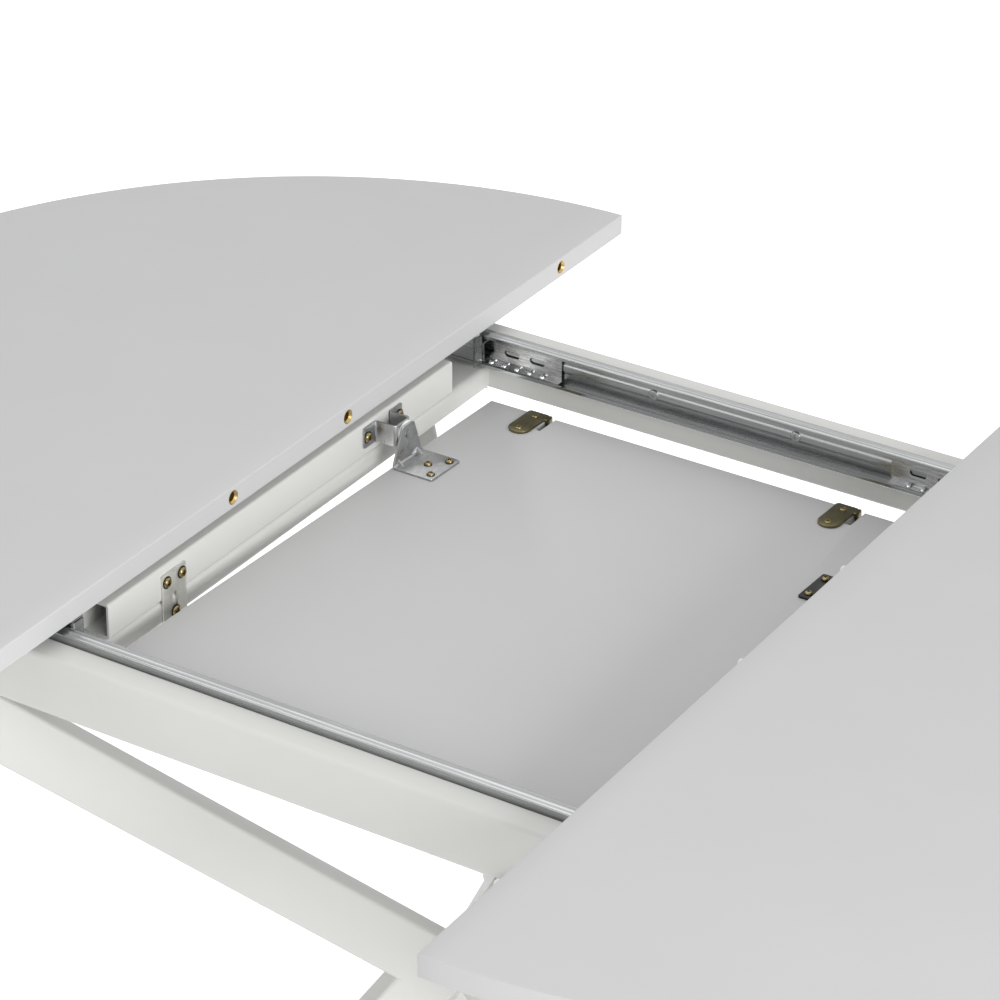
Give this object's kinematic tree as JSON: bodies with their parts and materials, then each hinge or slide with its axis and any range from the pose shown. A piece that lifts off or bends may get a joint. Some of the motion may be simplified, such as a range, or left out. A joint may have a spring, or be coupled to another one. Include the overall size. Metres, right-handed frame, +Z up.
{
  "type": "butterfly leaf table",
  "caption": "Round extending dining table: half tops on ball slides over a tube frame and knee legs, with a folding leaf stored on pivots in the opening.",
  "frame": {"origin": "on the floor under the centre of the table", "axes": "+X is the direction in which the halves draw apart, +Y points to the leaf's hinged edge, +Z is up"},
  "size_m": [1.5886, 1.1, 0.75],
  "materials": {
    "top_lacquer": "matte light grey lacquer on board",
    "frame_white": "satin white powder coat",
    "zinc_steel": "zinc-plated sheet steel",
    "bracket_steel": "bright zinc-plated sheet steel",
    "ball_steel": "polished balls",
    "screw_brass": "yellow-passivated screws",
    "bush_brass": "turned brass",
    "hinge_brass": "olive brass plating",
    "nylon": "white nylon",
    "glide_plastic": "black moulded plastic"
  },
  "bodies": {
    "frame": {"front_rail": "frame_white", "back_rail": "frame_white", "left_cross_rail": "frame_white", "right_cross_rail": "frame_white", "left_cross_tube": "frame_white", "right_cross_tube": "frame_white", "front_channel": "zinc_steel", "back_channel": "zinc_steel", "channel_screws": "zinc_steel", "left_rest_plate": "zinc_steel", "right_rest_plate": "zinc_steel", "rest_plate_screws": "screw_brass", "left_pivot_bracket": "bracket_steel", "right_pivot_bracket": "bracket_steel", "bracket_screws": "screw_brass", "pivot_pins": "bracket_steel", "pivot_washers": "nylon", "back_right_upper_leg": "frame_white", "back_left_upper_leg": "frame_white", "front_left_upper_leg": "frame_white", "front_right_upper_leg": "frame_white", "back_right_lower_leg": "frame_white", "back_left_lower_leg": "frame_white", "front_left_lower_leg": "frame_white", "front_right_lower_leg": "frame_white", "leg_hub": "frame_white", "catch_plate": "frame_white"},
    "left_half": {"left_top": "top_lacquer", "left_top_bushes": "bush_brass", "left_runners": "zinc_steel", "left_carriages": "zinc_steel", "left_carriage_screws": "zinc_steel"},
    "right_half": {"right_top": "top_lacquer", "right_top_pins": "nylon", "right_runners": "zinc_steel", "right_carriages": "zinc_steel", "right_carriage_screws": "zinc_steel"},
    "leaf_a": {"leaf_panel_a": "top_lacquer", "left_pivot_plate": "bracket_steel", "right_pivot_plate": "bracket_steel", "pivot_plate_screws": "screw_brass", "leaf_hinges_a": "hinge_brass", "leaf_hinge_screws_a": "screw_brass", "leaf_hinge_pins": "hinge_brass", "leaf_pins_a": "nylon", "leaf_bushes_a": "bush_brass"},
    "leaf_b": {"leaf_panel_b": "top_lacquer", "leaf_hinges_b": "hinge_brass", "leaf_hinge_screws_b": "screw_brass", "leaf_pins_b": "nylon", "leaf_bushes_b": "bush_brass"},
    "left_ball_cages": {"left_cages": "bracket_steel", "left_balls": "ball_steel"},
    "right_ball_cages": {"right_cages": "bracket_steel", "right_balls": "ball_steel"},
    "back_right_foot": {"back_right_glide": "glide_plastic"},
    "back_left_foot": {"back_left_glide": "glide_plastic"},
    "front_left_foot": {"front_left_glide": "glide_plastic"},
    "front_right_foot": {"front_right_glide": "glide_plastic"}
  },
  "joints": [
    {"name": "left_half_slide", "type": "slide", "parent": "frame", "child": "left_half", "axis": [-1, 0, 0], "range_m": [-0.2442, 0]},
    {"name": "right_half_slide", "type": "slide", "parent": "frame", "child": "right_half", "axis": [1, 0, 0], "range_m": [-0.2442, 0]},
    {"name": "left_cage_roll", "type": "slide", "parent": "frame", "child": "left_ball_cages", "axis": [-1, 0, 0], "range_m": [-0.1221, 0]},
    {"name": "right_cage_roll", "type": "slide", "parent": "frame", "child": "right_ball_cages", "axis": [1, 0, 0], "range_m": [-0.1221, 0]},
    {"name": "leaf_pivot", "type": "hinge", "parent": "frame", "child": "leaf_a", "pos_m": [0, 0.144, 0.70365], "axis": [-1, 0, 0], "range_deg": [0, 178]},
    {"name": "leaf_fold", "type": "hinge", "parent": "leaf_a", "child": "leaf_b", "pos_m": [0, 0.28628, 0.6518], "axis": [1, 0, 0], "range_deg": [0, 180]},
    {"name": "back_right_glide_turn", "type": "hinge", "parent": "frame", "child": "back_right_foot", "pos_m": [0.2437, 0.23288, 0], "axis": [0, 0, 1], "continuous": true},
    {"name": "back_left_glide_turn", "type": "hinge", "parent": "frame", "child": "back_left_foot", "pos_m": [-0.2437, 0.23288, 0], "axis": [0, 0, 1], "continuous": true},
    {"name": "front_left_glide_turn", "type": "hinge", "parent": "frame", "child": "front_left_foot", "pos_m": [-0.2437, -0.23288, 0], "axis": [0, 0, 1], "continuous": true},
    {"name": "front_right_glide_turn", "type": "hinge", "parent": "frame", "child": "front_right_foot", "pos_m": [0.2437, -0.23288, 0], "axis": [0, 0, 1], "continuous": true}
  ],
  "couplings": [
    {"joint": "left_cage_roll", "follows": "left_half_slide", "ratio": 0.5},
    {"joint": "right_cage_roll", "follows": "right_half_slide", "ratio": 0.5},
    {"joint": "leaf_fold", "follows": "leaf_pivot", "ratio": 0.5}
  ]
}
